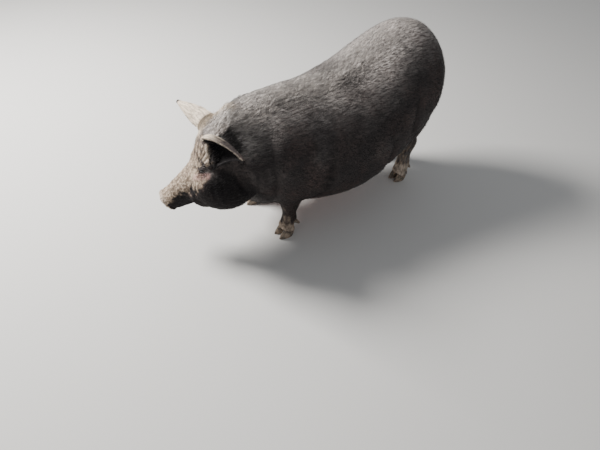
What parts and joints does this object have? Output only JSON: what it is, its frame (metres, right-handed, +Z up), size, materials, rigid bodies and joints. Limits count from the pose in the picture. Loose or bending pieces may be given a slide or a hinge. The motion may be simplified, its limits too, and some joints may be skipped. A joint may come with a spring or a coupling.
{
  "type": "pig",
  "caption": "Life-size still model of a dark native sow standing with lowered, turned head, swayed back, cupped ears and cloven hooves.",
  "frame": {"origin": "middle of the bounding box, on the floor", "axes": "+Z up; the sow faces -X, so its left side faces -Y and its right side +Y"},
  "size_m": [1.102, 0.4328, 0.6188],
  "materials": {
    "skin": "dark slate hide under short flat bristles",
    "muddy_skin": "hide under dried mud",
    "ear": "thin pinkish grey hide",
    "horn": "dull horn under dried mud",
    "eye": "wet and glossy"
  },
  "bodies": {
    "root": {"dewclaw_front_left_inner": "horn", "dewclaw_front_left_outer": "horn", "dewclaw_front_right_inner": "horn", "dewclaw_front_right_outer": "horn", "dewclaw_hind_left_inner": "horn", "dewclaw_hind_left_outer": "horn", "dewclaw_hind_right_inner": "horn", "dewclaw_hind_right_outer": "horn", "ear_left": "ear", "ear_right": "ear", "eye_left": "eye", "eye_right": "eye", "head": "skin", "hoof_front_left_inner": "horn", "hoof_front_left_outer": "horn", "hoof_front_right_inner": "horn", "hoof_front_right_outer": "horn", "hoof_hind_left_inner": "horn", "hoof_hind_left_outer": "horn", "hoof_hind_right_inner": "horn", "hoof_hind_right_outer": "horn", "jaw": "muddy_skin", "leg_front_left_lower": "muddy_skin", "leg_front_left_upper": "skin", "leg_front_right_lower": "muddy_skin", "leg_front_right_upper": "skin", "leg_hind_left_lower": "muddy_skin", "leg_hind_left_upper": "skin", "leg_hind_right_lower": "muddy_skin", "leg_hind_right_upper": "skin", "neck": "skin", "snout": "muddy_skin", "tail": "skin", "trunk": "skin"}
  },
  "joints": []
}
